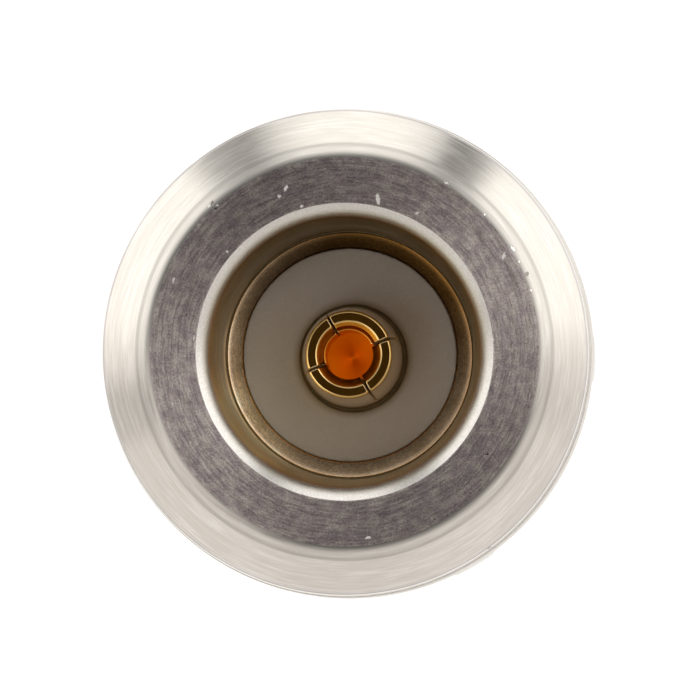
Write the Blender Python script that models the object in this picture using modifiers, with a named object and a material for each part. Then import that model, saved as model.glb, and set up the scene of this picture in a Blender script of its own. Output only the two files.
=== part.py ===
"""Coaxial adapter between a type N socket (top) and a TNC socket (bottom).

Everything is turned round the Z axis. Z = 0 is the face of the TNC end and the N end faces +Z.
The inner body carries the TNC thread and the sleeve that ends in the rim inside the N mouth. The outer
shell is pressed over it from above. Two PTFE beads hold the two gold contacts on the axis.
"""

import math

import bmesh
import bpy

MM = 0.001

# Play between pieces
SEAT_GAP = 0.03 * MM            # play left between faces that seat on each other
PRESS_GAP = 0.03 * MM           # play left between a pressed round and its bore

# N end, outside (thread 5/8-24)
N_THREAD_D = 15.88 * MM
N_THREAD_LENGTH = 10.0 * MM     # from the face to the end of the thread
N_CREST_STEP = 0.14 * MM        # the cone ends this much inside the thread's crest
N_CONE_WIDTH = 1.10 * MM
N_CONE_HEIGHT = 1.15 * MM
N_NOSE_BEVEL_WIDTH = 0.37 * MM
N_NOSE_BEVEL_HEIGHT = 0.25 * MM
N_RELIEF_LENGTH = 1.2 * MM
N_RELIEF_DEPTH = 0.84 * MM      # of the groove below the thread's crest

# N end, inside
LINE_D = 7.0 * MM               # inner diameter of the outer conductor
SLEEVE_WALL = 0.48 * MM
SEAM_GAP = 0.06 * MM            # dark seam between the sleeve and the shell's bore
N_REF_DEPTH = 9.1 * MM          # from the face to the rim
N_TAPER_LENGTH = 2.2 * MM
N_TAPER_RISE = 0.39 * MM        # growth of the bore's radius towards the mouth
N_MOUTH_CHAMFER_WIDTH = 0.38 * MM
N_MOUTH_CHAMFER_HEIGHT = 0.30 * MM
RIM_CHAMFER = 0.10 * MM

# Grip: a hexagon whose corners are turned down to the thread's diameter
GRIP_LENGTH = 7.17 * MM
GRIP_ACROSS_FLATS = 14.29 * MM
GRIP_EDGE_BREAK = 0.45 * MM

# Joint between shell and body
SPIGOT_D = 11.2 * MM
SPIGOT_LENGTH = 5.4 * MM
SPIGOT_LEAD = 0.4 * MM
FLANGE_D = 13.4 * MM
FLANGE_LENGTH = 2.0 * MM
FLANGE_EDGE = 0.3 * MM

# TNC end, outside (thread 7/16-28)
TNC_THREAD_D = 11.11 * MM
TNC_THREAD_LENGTH = 8.6 * MM
TNC_THREAD_CHAMFER = 0.45 * MM
TNC_RELIEF_LENGTH = 1.0 * MM
TNC_RELIEF_DEPTH = 0.62 * MM

# TNC end, inside
TNC_BORE_D = 8.12 * MM
TNC_MOUTH_CHAMFER = 0.35 * MM
TNC_REF_DEPTH = 8.4 * MM
TNC_LIP_LENGTH = 0.6 * MM       # lip that stops the lower bead
TNC_LIP_D = 5.8 * MM
BEAD_LEDGE = 0.25 * MM          # ledge under the N bead

# PTFE pieces
N_BEAD_LENGTH = 3.0 * MM
N_BEAD_EDGE = 0.06 * MM
N_BEAD_RECESS_D = 3.42 * MM     # recess round the foot of the N contact
N_BEAD_RECESS_DEPTH = 0.5 * MM
TNC_BEAD_LENGTH = 4.5 * MM
TNC_SLEEVE_D = 4.75 * MM
TNC_SLEEVE_REACH = 5.2 * MM     # from the reference shoulder towards the face
TNC_SLEEVE_EDGE = 0.2 * MM
FINGER_ROOM = 0.12 * MM         # round the TNC fingers, so that they can spread
FINGER_ROOM_LENGTH = 3.4 * MM

# Contacts
N_CONTACT_D = 3.04 * MM
N_CONTACT_REACH = 4.75 * MM     # from the rim towards the N mouth
N_CONTACT_TIP_CHAMFER = 0.14 * MM
N_CONTACT_PINCH = 0.02 * MM     # the fingers are closed in by this much at the tip
N_CONTACT_HOLE_D = 1.62 * MM
N_CONTACT_LEAD_D = 2.14 * MM    # wide end of the lead-in at the tip
N_CONTACT_LEAD_DEPTH = 0.35 * MM
N_CONTACT_HOLE_DEPTH = 4.2 * MM
N_SLOT_LENGTH = 3.3 * MM
N_SLOT_ROOT_WIDTH = 0.26 * MM
N_SLOT_TIP_WIDTH = 0.11 * MM
N_SLOT_ANGLES = (21.7, 119.5)   # degrees from +X; the two saw cuts are not quite square to each other
NECK_D = 2.10 * MM              # through the N bead
STUD_D = 1.20 * MM              # pressed into the other contact
STUD_LENGTH = 2.6 * MM
TNC_CONTACT_D = 2.10 * MM
TNC_CONTACT_TIP_INSET = 0.15 * MM   # tip lies this far inside the PTFE sleeve
TNC_CONTACT_TIP_CHAMFER = 0.12 * MM
TNC_CONTACT_HOLE_D = 1.38 * MM
TNC_CONTACT_LEAD = 0.14 * MM
TNC_CONTACT_HOLE_DEPTH = 4.6 * MM
TNC_SLOT_LENGTH = 2.8 * MM
TNC_SLOT_ROOT_WIDTH = 0.22 * MM
TNC_SLOT_TIP_WIDTH = 0.12 * MM
TNC_SLOT_ANGLES = (45.0, 135.0)
SAW_OVERRUN = 0.3 * MM          # the saw starts this far outside the tip
DRILL_POINT = math.radians(59.0)    # half the angle of the point that a drill leaves

# Facets round the axis
SHELL_STEPS = 72
CORE_STEPS = 48
GRIP_SIDES = 6
SHARP_ANGLE = math.radians(28.0)

# Heights that several pieces share, from the TNC face up
TNC_RELIEF_TOP_Z = TNC_THREAD_LENGTH + TNC_RELIEF_LENGTH
FLANGE_TOP_Z = TNC_RELIEF_TOP_Z + FLANGE_LENGTH
SPIGOT_TOP_Z = FLANGE_TOP_Z + SPIGOT_LENGTH
SHELL_END_Z = FLANGE_TOP_Z + SEAT_GAP
GRIP_TOP_Z = SHELL_END_Z + GRIP_LENGTH
N_THREAD_END_Z = GRIP_TOP_Z + N_RELIEF_LENGTH
N_FACE_Z = N_THREAD_END_Z + N_THREAD_LENGTH
RIM_Z = N_FACE_Z - N_REF_DEPTH
LIP_TOP_Z = TNC_REF_DEPTH + TNC_LIP_LENGTH
BEAD_LEDGE_Z = RIM_Z - N_BEAD_LENGTH - SEAT_GAP
TNC_SLEEVE_TIP_Z = TNC_REF_DEPTH - TNC_SLEEVE_REACH
TNC_TIP_Z = TNC_SLEEVE_TIP_Z + TNC_CONTACT_TIP_INSET

# Radii that several pieces share
N_THREAD_R = N_THREAD_D / 2
LINE_R = LINE_D / 2
SLEEVE_R = LINE_R + SLEEVE_WALL
N_BORE_R = SLEEVE_R + SEAM_GAP
SPIGOT_R = SPIGOT_D / 2
LOWER_LINE_R = LINE_R - BEAD_LEDGE
N_CONTACT_R = N_CONTACT_D / 2
TNC_CONTACT_R = TNC_CONTACT_D / 2


def clear_scene():
    """Start from an empty scene."""
    for old in list(bpy.data.objects):
        bpy.data.objects.remove(old, do_unlink=True)


def new_collection(name):
    """A collection of that name, linked to the scene."""
    collection = bpy.data.collections.new(name)
    bpy.context.scene.collection.children.link(collection)
    return collection


def new_material(name, color, metallic, roughness):
    """A Principled material of one colour."""
    material = bpy.data.materials.new(name)
    material.use_nodes = True
    shader = material.node_tree.nodes["Principled BSDF"]
    shader.inputs["Base Color"].default_value = (*color, 1.0)
    shader.inputs["Metallic"].default_value = metallic
    shader.inputs["Roughness"].default_value = roughness
    return material


def turned(name, profile, steps, collection, closed=True):
    """Turn a profile of (radius, height) points round Z.

    The points run down the outside and back up the inside. An open profile starts and ends on the axis.
    """
    mesh = bpy.data.meshes.new(name)
    edges = [(i, i + 1) for i in range(len(profile) - 1)]
    if closed:
        edges.append((len(profile) - 1, 0))
    mesh.from_pydata([(radius, 0.0, height) for radius, height in profile], edges, [])
    obj = bpy.data.objects.new(name, mesh)
    collection.objects.link(obj)
    screw = obj.modifiers.new("turning", "SCREW")
    screw.axis = "Z"
    screw.angle = math.tau
    screw.steps = steps
    screw.render_steps = steps
    screw.use_merge_vertices = True
    screw.merge_threshold = 1e-6
    return obj


def as_cutter(obj):
    """Mark an object as a tool that only removes material."""
    obj.hide_render = True
    obj.display_type = "WIRE"
    return obj


def cut(obj, cutter):
    """Take the cutter's shape out of the object."""
    boolean = obj.modifiers.new(cutter.name, "BOOLEAN")
    boolean.operation = "DIFFERENCE"
    boolean.solver = "EXACT"
    boolean.object = cutter


def saw_blade(name, root_z, tip_z, root_width, tip_width, angle, collection):
    """A cut right across a contact: wide at its root, narrow at the tip, where the fingers are pinched."""
    taper = (tip_width - root_width) / (tip_z - root_z)
    far_z = tip_z + math.copysign(SAW_OVERRUN, tip_z - root_z)
    far_width = root_width + taper * (far_z - root_z)
    blade_span = N_CONTACT_D * 2
    shape = bmesh.new()
    bmesh.ops.create_cube(shape, size=1.0)
    for vert in shape.verts:
        at_far_end = (vert.co.z > 0) == (far_z > root_z)
        width, height = (far_width, far_z) if at_far_end else (root_width, root_z)
        vert.co = (vert.co.x * blade_span, vert.co.y * width, height)
    mesh = bpy.data.meshes.new(name)
    shape.to_mesh(mesh)
    shape.free()
    obj = bpy.data.objects.new(name, mesh)
    obj.rotation_euler.z = math.radians(angle)
    collection.objects.link(obj)
    return as_cutter(obj)


def finish(obj, material):
    """Apply the modifiers, give the material and shade the rounds smooth."""
    bpy.context.view_layer.update()
    evaluated = obj.evaluated_get(bpy.context.evaluated_depsgraph_get())
    mesh = bpy.data.meshes.new_from_object(evaluated)
    mesh.name = obj.name
    obj.modifiers.clear()
    obj.data = mesh
    mesh.materials.clear()
    mesh.materials.append(material)
    mesh.shade_smooth()
    mesh.set_sharp_from_angle(angle=SHARP_ANGLE)


def n_shell_profile():
    """Lead-in cone, thread, run-out groove and grip outside; socket, bore and tapered mouth inside."""
    cone_r = N_THREAD_R - N_CREST_STEP
    nose_r = cone_r - N_CONE_WIDTH
    face_r = nose_r - N_NOSE_BEVEL_WIDTH
    nose_z = N_FACE_Z - N_NOSE_BEVEL_HEIGHT
    cone_z = nose_z - N_CONE_HEIGHT
    relief_r = N_THREAD_R - N_RELIEF_DEPTH
    socket_r = SPIGOT_R + PRESS_GAP
    socket_z = SPIGOT_TOP_Z + SEAT_GAP
    taper_r = N_BORE_R + N_TAPER_RISE
    taper_z = N_FACE_Z - N_MOUTH_CHAMFER_HEIGHT
    outside = [
        (face_r, N_FACE_Z),
        (nose_r, nose_z),
        (cone_r, cone_z),
        (N_THREAD_R, cone_z - N_CREST_STEP),
        (N_THREAD_R, N_THREAD_END_Z + N_CREST_STEP),
        (relief_r, N_THREAD_END_Z - N_CREST_STEP),
        (relief_r, GRIP_TOP_Z),
        (N_THREAD_R - GRIP_EDGE_BREAK, GRIP_TOP_Z),
        (N_THREAD_R, GRIP_TOP_Z - GRIP_EDGE_BREAK / 2),
        (N_THREAD_R, SHELL_END_Z + GRIP_EDGE_BREAK / 2),
        (N_THREAD_R - GRIP_EDGE_BREAK, SHELL_END_Z),
    ]
    inside = [
        (socket_r + SPIGOT_LEAD / 2, SHELL_END_Z),
        (socket_r, SHELL_END_Z + SPIGOT_LEAD / 2),
        (socket_r, socket_z),
        (N_BORE_R, socket_z),
        (N_BORE_R, taper_z - N_TAPER_LENGTH),
        (taper_r, taper_z),
        (taper_r + N_MOUTH_CHAMFER_WIDTH, N_FACE_Z),
    ]
    return outside + inside


def make_n_shell(parts, cutters):
    """Outer shell of the N end, with its six wrench flats."""
    shell = turned("n_shell", n_shell_profile(), SHELL_STEPS, parts)
    corner_r = GRIP_ACROSS_FLATS / 2 / math.cos(math.pi / GRIP_SIDES)
    outer_r = N_THREAD_D
    top_z = GRIP_TOP_Z + N_RELIEF_LENGTH / 2
    low_z = SHELL_END_Z - N_RELIEF_LENGTH / 2
    ring = [(outer_r, top_z), (outer_r, low_z), (corner_r, low_z), (corner_r, top_z)]
    cut(shell, as_cutter(turned("grip_flats", ring, GRIP_SIDES, cutters)))
    return shell


def tnc_body_profile():
    """Sleeve, spigot, flange and TNC thread outside; TNC socket, lip and stepped line bore inside."""
    sleeve_edge = min(RIM_CHAMFER, SLEEVE_WALL / 3)
    thread_r = TNC_THREAD_D / 2
    relief_r = thread_r - TNC_RELIEF_DEPTH
    flange_r = FLANGE_D / 2
    bore_r = TNC_BORE_D / 2
    outside = [
        (SLEEVE_R - sleeve_edge, RIM_Z),
        (SLEEVE_R, RIM_Z - sleeve_edge),
        (SLEEVE_R, SPIGOT_TOP_Z),
        (SPIGOT_R - SPIGOT_LEAD, SPIGOT_TOP_Z),
        (SPIGOT_R, SPIGOT_TOP_Z - SPIGOT_LEAD),
        (SPIGOT_R, FLANGE_TOP_Z),
        (flange_r - FLANGE_EDGE, FLANGE_TOP_Z),
        (flange_r, FLANGE_TOP_Z - FLANGE_EDGE),
        (flange_r, TNC_RELIEF_TOP_Z + FLANGE_EDGE),
        (flange_r - FLANGE_EDGE, TNC_RELIEF_TOP_Z),
        (relief_r, TNC_RELIEF_TOP_Z),
        (relief_r, TNC_THREAD_LENGTH),
        (thread_r, TNC_THREAD_LENGTH - TNC_RELIEF_DEPTH / 2),
        (thread_r, TNC_THREAD_CHAMFER),
        (thread_r - TNC_THREAD_CHAMFER, 0.0),
    ]
    inside = [
        (bore_r + TNC_MOUTH_CHAMFER, 0.0),
        (bore_r, TNC_MOUTH_CHAMFER),
        (bore_r, TNC_REF_DEPTH),
        (TNC_LIP_D / 2, TNC_REF_DEPTH),
        (TNC_LIP_D / 2, LIP_TOP_Z),
        (LOWER_LINE_R, LIP_TOP_Z),
        (LOWER_LINE_R, BEAD_LEDGE_Z),
        (LINE_R, BEAD_LEDGE_Z),
        (LINE_R, RIM_Z - sleeve_edge / 2),
        (LINE_R + sleeve_edge / 2, RIM_Z),
    ]
    return outside + inside


def n_insulator_profile():
    """Bead with a recess round the contact's foot and a hole for its neck."""
    bead_r = LINE_R - PRESS_GAP
    low_z = BEAD_LEDGE_Z + SEAT_GAP
    recess_r = N_BEAD_RECESS_D / 2
    recess_z = RIM_Z - N_BEAD_RECESS_DEPTH
    neck_r = NECK_D / 2 + PRESS_GAP
    return [
        (bead_r - N_BEAD_EDGE, RIM_Z),
        (bead_r, RIM_Z - N_BEAD_EDGE),
        (bead_r, low_z + N_BEAD_EDGE),
        (bead_r - N_BEAD_EDGE, low_z),
        (neck_r, low_z),
        (neck_r, recess_z),
        (recess_r, recess_z),
        (recess_r, RIM_Z),
    ]


def tnc_insulator_profile():
    """Bead that stops on the body's lip, with the sleeve that stands out into the TNC socket."""
    bead_r = LOWER_LINE_R - PRESS_GAP
    lip_r = TNC_LIP_D / 2 - PRESS_GAP
    low_z = LIP_TOP_Z + SEAT_GAP
    top_z = low_z + TNC_BEAD_LENGTH
    sleeve_r = TNC_SLEEVE_D / 2
    tip_z = TNC_SLEEVE_TIP_Z
    hole_r = TNC_CONTACT_R + PRESS_GAP
    room_r = TNC_CONTACT_R + FINGER_ROOM
    return [
        (bead_r, top_z),
        (bead_r, low_z),
        (lip_r, low_z),
        (lip_r, TNC_REF_DEPTH),
        (sleeve_r, TNC_REF_DEPTH),
        (sleeve_r, tip_z + TNC_SLEEVE_EDGE),
        (sleeve_r - TNC_SLEEVE_EDGE, tip_z),
        (room_r, tip_z),
        (room_r, tip_z + FINGER_ROOM_LENGTH),
        (hole_r, tip_z + FINGER_ROOM_LENGTH),
        (hole_r, top_z),
    ]


def n_contact_profile():
    """From the bottom of the drilled hole, over the tip and down the outside to the end of the stud."""
    tip_z = RIM_Z + N_CONTACT_REACH
    tip_r = N_CONTACT_R - N_CONTACT_PINCH
    foot_z = RIM_Z - N_BEAD_RECESS_DEPTH + SEAT_GAP
    hole_r = N_CONTACT_HOLE_D / 2
    hole_z = tip_z - N_CONTACT_HOLE_DEPTH
    neck_r = NECK_D / 2
    neck_z = BEAD_LEDGE_Z
    stud_z = neck_z - STUD_LENGTH
    return [
        (0.0, hole_z - hole_r / math.tan(DRILL_POINT)),
        (hole_r, hole_z),
        (hole_r, tip_z - N_CONTACT_LEAD_DEPTH),
        (N_CONTACT_LEAD_D / 2, tip_z),
        (tip_r - N_CONTACT_TIP_CHAMFER, tip_z),
        (tip_r, tip_z - N_CONTACT_TIP_CHAMFER),
        (N_CONTACT_R, tip_z - N_SLOT_LENGTH),
        (N_CONTACT_R, foot_z),
        (neck_r, foot_z),
        (neck_r, neck_z),
        (STUD_D / 2, neck_z),
        (STUD_D / 2, stud_z),
        (0.0, stud_z),
    ]


def tnc_contact_profile():
    """From the bottom of the stud's hole, down the outside and up into the TNC pin's hole."""
    top_z = BEAD_LEDGE_Z - SEAT_GAP
    shoulder_z = LIP_TOP_Z + TNC_BEAD_LENGTH + SEAT_GAP * 2
    tip_z = TNC_TIP_Z
    stud_hole_r = STUD_D / 2 + PRESS_GAP
    stud_hole_z = BEAD_LEDGE_Z - STUD_LENGTH - SEAT_GAP
    pin_hole_r = TNC_CONTACT_HOLE_D / 2
    pin_hole_z = tip_z + TNC_CONTACT_HOLE_DEPTH
    return [
        (0.0, stud_hole_z - stud_hole_r / math.tan(DRILL_POINT)),
        (stud_hole_r, stud_hole_z),
        (stud_hole_r, top_z),
        (N_CONTACT_R, top_z),
        (N_CONTACT_R, shoulder_z),
        (TNC_CONTACT_R, shoulder_z),
        (TNC_CONTACT_R, tip_z + TNC_CONTACT_TIP_CHAMFER),
        (TNC_CONTACT_R - TNC_CONTACT_TIP_CHAMFER, tip_z),
        (pin_hole_r + TNC_CONTACT_LEAD, tip_z),
        (pin_hole_r, tip_z + TNC_CONTACT_LEAD),
        (pin_hole_r, pin_hole_z),
        (0.0, pin_hole_z + pin_hole_r / math.tan(DRILL_POINT)),
    ]


def sawn_contact(name, profile, root_z, tip_z, widths, angles, parts, cutters):
    """A turned contact, sawn across at each angle into spring fingers."""
    contact = turned(name, profile, CORE_STEPS, parts, closed=False)
    for number, angle in enumerate(angles, 1):
        cut(contact, saw_blade(f"{name}_saw_{number}", root_z, tip_z, *widths, angle, cutters))
    return contact


def make_n_contact(parts, cutters):
    """Spring contact of the N end, open to the top."""
    tip_z = RIM_Z + N_CONTACT_REACH
    return sawn_contact("n_contact", n_contact_profile(), tip_z - N_SLOT_LENGTH, tip_z,
                        (N_SLOT_ROOT_WIDTH, N_SLOT_TIP_WIDTH), N_SLOT_ANGLES, parts, cutters)


def make_tnc_contact(parts, cutters):
    """Spring contact of the TNC end, open to the bottom."""
    return sawn_contact("tnc_contact", tnc_contact_profile(), TNC_TIP_Z + TNC_SLOT_LENGTH, TNC_TIP_Z,
                        (TNC_SLOT_ROOT_WIDTH, TNC_SLOT_TIP_WIDTH), TNC_SLOT_ANGLES, parts, cutters)


def main():
    clear_scene()
    parts = new_collection("n_to_tnc_adapter")
    cutters = new_collection("cutters")
    nickel = new_material("nickel_plate", (0.62, 0.59, 0.56), 1.0, 0.35)
    bright_nickel = new_material("body_nickel", (0.45, 0.38, 0.30), 1.0, 0.30)
    ptfe = new_material("ptfe", (0.72, 0.68, 0.64), 0.0, 0.55)
    gold = new_material("gold_plate", (0.83, 0.55, 0.16), 1.0, 0.22)

    finish(make_n_shell(parts, cutters), nickel)
    finish(turned("tnc_body", tnc_body_profile(), SHELL_STEPS, parts), bright_nickel)
    finish(turned("n_insulator", n_insulator_profile(), CORE_STEPS, parts), ptfe)
    finish(turned("tnc_insulator", tnc_insulator_profile(), CORE_STEPS, parts), ptfe)
    finish(make_n_contact(parts, cutters), gold)
    finish(make_tnc_contact(parts, cutters), gold)


main()
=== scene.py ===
import math

import bmesh
import bpy
from mathutils import Matrix, Vector


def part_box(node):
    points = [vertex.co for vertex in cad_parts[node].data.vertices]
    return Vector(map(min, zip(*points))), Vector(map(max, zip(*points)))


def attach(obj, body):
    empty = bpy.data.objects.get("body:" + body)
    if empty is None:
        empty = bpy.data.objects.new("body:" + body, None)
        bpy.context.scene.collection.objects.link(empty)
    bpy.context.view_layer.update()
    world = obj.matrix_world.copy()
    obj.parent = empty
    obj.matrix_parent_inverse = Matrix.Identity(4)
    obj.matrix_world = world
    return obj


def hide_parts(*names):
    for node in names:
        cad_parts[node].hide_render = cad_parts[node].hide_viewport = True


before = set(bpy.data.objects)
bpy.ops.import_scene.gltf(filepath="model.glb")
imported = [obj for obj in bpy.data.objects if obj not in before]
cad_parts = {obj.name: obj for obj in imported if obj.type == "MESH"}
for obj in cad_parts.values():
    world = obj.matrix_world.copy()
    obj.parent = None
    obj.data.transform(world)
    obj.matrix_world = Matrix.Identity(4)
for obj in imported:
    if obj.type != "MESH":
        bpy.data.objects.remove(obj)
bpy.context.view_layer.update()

MM = 0.001

# Places taken from the frame
shell_low, shell_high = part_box("n_shell")
body_low, body_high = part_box("tnc_body")
N_FACE_Z = shell_high.z
SHELL_END_Z = shell_low.z
RIM_Z = body_high.z
TNC_FACE_Z = body_low.z
N_THREAD_R = shell_high.x
FLANGE_R = body_high.x
N_BEAD_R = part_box("n_insulator")[1].x
N_BEAD_LOW_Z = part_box("n_insulator")[0].z
TNC_BEAD_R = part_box("tnc_insulator")[1].x
TNC_BEAD_LOW_Z, TNC_BEAD_TOP_Z = (corner.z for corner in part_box("tnc_insulator"))
N_TIP_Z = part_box("n_contact")[1].z
STUD_END_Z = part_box("n_contact")[0].z
TNC_TIP_Z, TNC_CONTACT_TOP_Z = (corner.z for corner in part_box("tnc_contact"))
CONTACT_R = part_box("n_contact")[1].x

GAP = 0.03 * MM                 # play between pieces that are pressed or seated together

# Threads
INCH = 25.4 * MM
N_PITCH = INCH / 24
TNC_PITCH = INCH / 28
THREAD_DEPTH_SHARE = 0.6134     # of the pitch
THREAD_FADE = 0.5 * MM          # length over which a thread starts
N_THREAD_LENGTH = 10.0 * MM     # from the face to the thread's end
TNC_THREAD_LENGTH = 8.6 * MM

# N end
LEAD_DROP = 0.075 * MM          # the thread's first crest lies this far inside its full radius
LEAD_LENGTH = 3.5 * MM          # over which the crest reaches its full radius
CREST_STEP = 0.14 * MM          # the cone ends this far inside the thread's full radius
CONE_WIDTH = 1.045 * MM
CONE_HEIGHT = 1.085 * MM
NOSE_BEVEL_WIDTH = 0.425 * MM
NOSE_BEVEL_HEIGHT = 0.285 * MM
RELIEF_LENGTH = 1.2 * MM
RELIEF_DEPTH = 0.84 * MM
BORE_R = 4.058 * MM
TAPER_LENGTH = 2.2 * MM
TAPER_LOW_R = 4.138 * MM
TAPER_TOP_R = 4.36 * MM
MOUTH_CHAMFER_WIDTH = 0.466 * MM
MOUTH_CHAMFER_HEIGHT = 0.36 * MM
MOUTH_ROUNDING = 0.83 * MM
LINE_R = 3.50 * MM
SLEEVE_R = 4.048 * MM
# The dark colour in this step is painted shade.
SLEEVE_EDGE = 0.055 * MM        # width of the step at the sleeve's edge, which shows as a dark seam
SLEEVE_STEP = 0.10 * MM         # depth of that step
EDGE_RISE = 0.011 * MM          # fine burr along the sleeve's edge
SHOULDER_R = 0.85 * MM          # rounding between the face and the bevel
SHOULDER_START = 0.26 * MM      # how far inside the face's edge the rounding starts
FACE_EDGE_SLOPE = 14.0          # slope in degrees where the turned face ends
LINE_SLOPE = 30.0               # slope in degrees of the bevel where it meets the fine line
FACE_LEAN = 0.05                # slope of the tool marks towards the axis

# Bead and contact of the N end; the contact sits a little off the axis, at its foot and at its tip
RECESS_R = 1.747 * MM
RECESS_DEPTH = 0.17 * MM
NECK_HOLE_R = 1.08 * MM
FOOT_SHIFT = Vector((0.115, -0.108)) * MM
TIP_SHIFT = Vector((0.042, -0.036)) * MM

# Grip and joint
GRIP_ACROSS_FLATS = 14.29 * MM
GRIP_EDGE_BREAK = 0.45 * MM
CORNER_R = N_THREAD_R - 0.05 * MM       # the hexagon's corners, turned down
SPIGOT_R = 5.6 * MM
SPIGOT_TOP_Z = 17.0 * MM
SPIGOT_LEAD = 0.4 * MM
SOCKET_R = SPIGOT_R + GAP
SOCKET_TOP_Z = SPIGOT_TOP_Z + GAP
SOCKET_CHAMFER = 0.2 * MM
FLANGE_TOP_Z = SHELL_END_Z - GAP
FLANGE_LOW_Z = 9.6 * MM
FLANGE_EDGE = 0.3 * MM
FLANGE_ROUNDING = 0.08 * MM

# TNC end
TNC_THREAD_R = 5.555 * MM
TNC_RELIEF_R = TNC_THREAD_R - 0.62 * MM
TNC_CHAMFER = 0.45 * MM
TNC_RUN_OUT_SLOPE = 2.0
TNC_BORE_R = 4.06 * MM
TNC_MOUTH_CHAMFER = 0.35 * MM
TNC_REF_Z = 8.4 * MM
LIP_R = 2.9 * MM
LIP_TOP_Z = TNC_REF_Z + 0.6 * MM
LOWER_LINE_R = LINE_R - 0.25 * MM
LEDGE_Z = N_BEAD_LOW_Z - GAP

# Worked out from the sizes above
CONE_R = N_THREAD_R - CREST_STEP
NOSE_R = CONE_R - CONE_WIDTH
FACE_R = NOSE_R - NOSE_BEVEL_WIDTH
CONE_Z = N_FACE_Z - NOSE_BEVEL_HEIGHT - CONE_HEIGHT
RELIEF_R = N_THREAD_R - RELIEF_DEPTH
THREAD_TOP_Z = CONE_Z - 0.23 * MM
THREAD_END_Z = N_FACE_Z - N_THREAD_LENGTH
GRIP_TOP_Z = THREAD_END_Z - RELIEF_LENGTH
FLAT_R = GRIP_ACROSS_FLATS / 2

# Fineness of the meshes
OUTER_COLUMNS = 288             # round the shell and the body
BEAD_COLUMNS = 192
INNER_COLUMNS = 144             # round the contacts and the hidden bead
FILLET_STEP = 14.0              # degrees of turn between the points of a fillet
FILLET_SHARE = 0.6              # the most that a fillet takes of a side
SHARP_ANGLE = 22.0              # degrees between faces from which their edge is sharp
WELD = 1e-7                     # points nearer than this, in metres, become one
SLACK = 1e-6                    # in metres, where a height is compared


def smooth_step(low, high, value):
    """0 below low, 1 above high, smooth between."""
    share = min(1.0, max(0.0, (value - low) / (high - low)))
    return share * share * (3 - 2 * share)


def filleted(corners, closed=False):
    """Profile points (radius, height, zone) from corners (radius, height, zone, fillet)."""
    points = []
    count = len(corners)
    for index, (r, z, zone, fillet) in enumerate(corners):
        here = Vector((r, z))
        inner = closed or 0 < index < count - 1
        if fillet == 0 or not inner:
            points.append((r, z, zone))
            continue
        before = Vector(corners[index - 1][:2]) - here
        after = Vector(corners[(index + 1) % count][:2]) - here
        half = before.angle(after) / 2
        reach = min(fillet / math.tan(half), before.length * FILLET_SHARE, after.length * FILLET_SHARE)
        radius = reach * math.tan(half)
        turn = math.pi - 2 * half
        steps = max(2, math.ceil(math.degrees(turn) / FILLET_STEP))
        inwards = (before.normalized() + after.normalized()).normalized()
        centre = here + inwards * (radius / math.sin(half))
        start = here + before.normalized() * reach - centre
        end = here + after.normalized() * reach - centre
        for step in range(steps + 1):
            share = step / steps
            arm = (start * (1 - share) + end * share).normalized() * radius
            spot = centre + arm
            points.append((spot.x, spot.y, zone))
    return points


def add_row(shape, angle, profile):
    """The vertices of a profile at one angle."""
    cosine, sine = math.cos(angle), math.sin(angle)
    return [shape.verts.new((r * cosine, r * sine, z)) for r, z, _ in profile]


def join_rows(shape, left, right, profile, closed):
    """The faces between two rows of vertices, each with the material of its zone."""
    count = len(profile)
    for low in range(count if closed else count - 1):
        high = (low + 1) % count
        face = shape.faces.new((left[low], left[high], right[high], right[low]))
        face.material_index = profile[low][2]
        face.smooth = True


def swept(name, column_of, angles, materials):
    """A closed skin through one profile for each angle, all with the same points and zones."""
    shape = bmesh.new()
    profiles = [column_of(angle) for angle in angles]
    rows = [add_row(shape, angle, profile) for angle, profile in zip(angles, profiles)]
    for left, right in zip(rows, rows[1:]):
        join_rows(shape, left, right, profiles[0], True)
    bmesh.ops.remove_doubles(shape, verts=shape.verts, dist=WELD)
    bmesh.ops.dissolve_degenerate(shape, dist=WELD / 10, edges=shape.edges)
    return new_piece(name, shape, materials)


def lathe(name, corners, materials, columns, closed=True, shape=None):
    """A turned piece, added to what shape holds. An open profile starts and ends on the axis."""
    profile = filleted(corners, closed)
    shape = shape or bmesh.new()
    rows = [add_row(shape, math.tau * number / columns, profile) for number in range(columns)]
    for left, right in zip(rows, rows[1:] + rows[:1]):
        join_rows(shape, left, right, profile, closed)
    bmesh.ops.remove_doubles(shape, verts=shape.verts, dist=WELD)
    return new_piece(name, shape, materials)


def new_piece(name, shape, materials):
    """A mesh object from a bmesh, with sharp edges where its faces turn enough."""
    mesh = bpy.data.meshes.new(name)
    shape.to_mesh(mesh)
    shape.free()
    for material in materials:
        mesh.materials.append(material)
    mesh.set_sharp_from_angle(angle=math.radians(SHARP_ANGLE))
    obj = bpy.data.objects.new(name, mesh)
    bpy.context.scene.collection.objects.link(obj)
    return obj


# One turn of the thread, from its top edge down: (place along the pitch, share of the depth)
THREAD_TURN = [
    (0.40, 1.0), (0.36, 0.96), (0.33, 0.87), (0.095, 0.115), (0.068, 0.03), (0.035, 0.0),
    (-0.035, 0.0), (-0.068, 0.03), (-0.095, 0.115), (-0.33, 0.87), (-0.36, 0.96), (-0.40, 1.0),
]


def thread(angle, top_z, low_z, pitch, crest_r, envelope, fade_top, fade_low, zone):
    """The thread's outline at one angle, from top_z down to low_z, kept inside the envelope."""
    depth = THREAD_DEPTH_SHARE * pitch
    turn = angle / math.tau
    first = math.ceil(top_z / pitch) + 1
    last = math.floor(low_z / pitch) - 2
    points = []
    for number in range(first, last - 1, -1):
        for place, share in THREAD_TURN:
            z = min(top_z, max(low_z, (number + place + turn) * pitch))
            fade = 1.0
            if fade_top:
                fade *= smooth_step(0, fade_top, top_z - z)
            if fade_low:
                fade *= smooth_step(0, fade_low, z - low_z)
            points.append((min(envelope(z), crest_r - depth * share * fade), z, zone))
    return points


# Materials

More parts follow.
